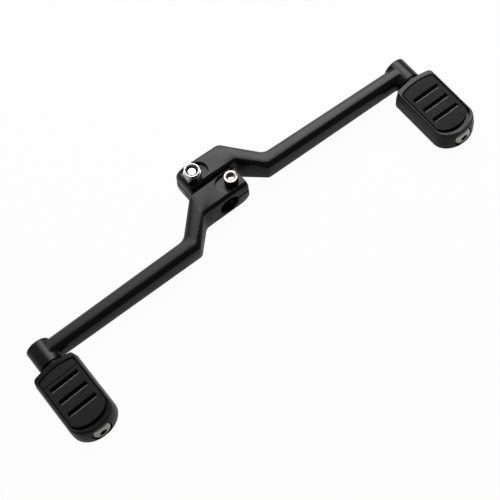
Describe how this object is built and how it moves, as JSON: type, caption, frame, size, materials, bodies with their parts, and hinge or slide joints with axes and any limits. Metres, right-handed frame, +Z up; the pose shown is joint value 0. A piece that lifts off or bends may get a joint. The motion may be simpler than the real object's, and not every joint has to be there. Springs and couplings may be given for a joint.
{
  "type": "heel toe shift lever",
  "caption": "Cranked steel levers clamped side by side on a splined shift shaft, one forward and one back, each ending in a boss with a rubber topped foot peg.",
  "frame": {"origin": "on the shift shaft's axis, midway between the two clamps", "axes": "+X back along the heel lever (the toe lever runs towards -X), +Y inboard along the shaft, +Z up, the way the treads face"},
  "size_m": [0.348, 0.1145, 0.0344],
  "materials": {
    "lever_paint": "gloss",
    "casing_paint": "satin",
    "bright_steel": "bright zinc plated",
    "nylon": "matte",
    "rubber": "matte",
    "black_steel": "black oxide"
  },
  "bodies": {
    "root": {"heel_lever": "lever_paint", "toe_lever": "lever_paint", "heel_clamp_screw": "bright_steel", "toe_clamp_screw": "bright_steel", "heel_lock_nut": "bright_steel", "toe_lock_nut": "bright_steel", "heel_nut_insert": "nylon", "toe_nut_insert": "nylon", "heel_peg_casing": "casing_paint", "toe_peg_casing": "casing_paint", "heel_peg_pad": "rubber", "toe_peg_pad": "rubber", "heel_peg_bolt": "bright_steel", "toe_peg_bolt": "bright_steel", "heel_peg_washer": "black_steel", "toe_peg_washer": "black_steel"}
  },
  "joints": []
}
